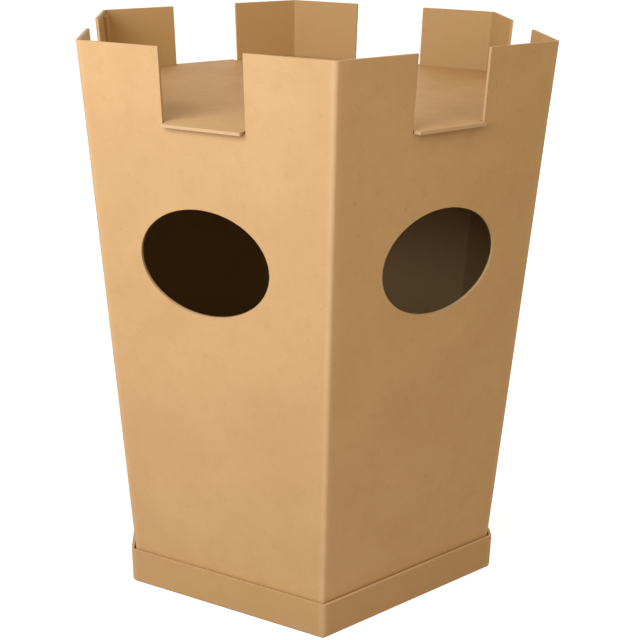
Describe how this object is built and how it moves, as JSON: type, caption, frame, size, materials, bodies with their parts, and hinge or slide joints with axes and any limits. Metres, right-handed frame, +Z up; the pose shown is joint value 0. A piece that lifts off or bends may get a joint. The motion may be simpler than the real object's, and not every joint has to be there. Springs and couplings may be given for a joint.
{
  "type": "cardboard castle",
  "caption": "Free-standing hexagonal castle tower of folded kraft board, flaring to a rim of merlons, with oval windows, a tabbed deck and a shallow base tray.",
  "frame": {"origin": "centre of the base tray's underside, on the ground", "axes": "+Z up; -Y towards the fold between the two front panels, which hold the windows"},
  "size_m": [0.231, 0.2616, 0.3],
  "materials": {
    "tower_board": "matt kraft liner, smooth, with scored folds and raw cut edges",
    "deck_board": "matt kraft liner, smooth, with raw cut edges",
    "tray_board": "matt kraft liner, smooth, with scored folds and raw cut edges"
  },
  "bodies": {
    "root": {"tower": "tower_board", "deck": "deck_board", "base_tray": "tray_board"}
  },
  "joints": []
}
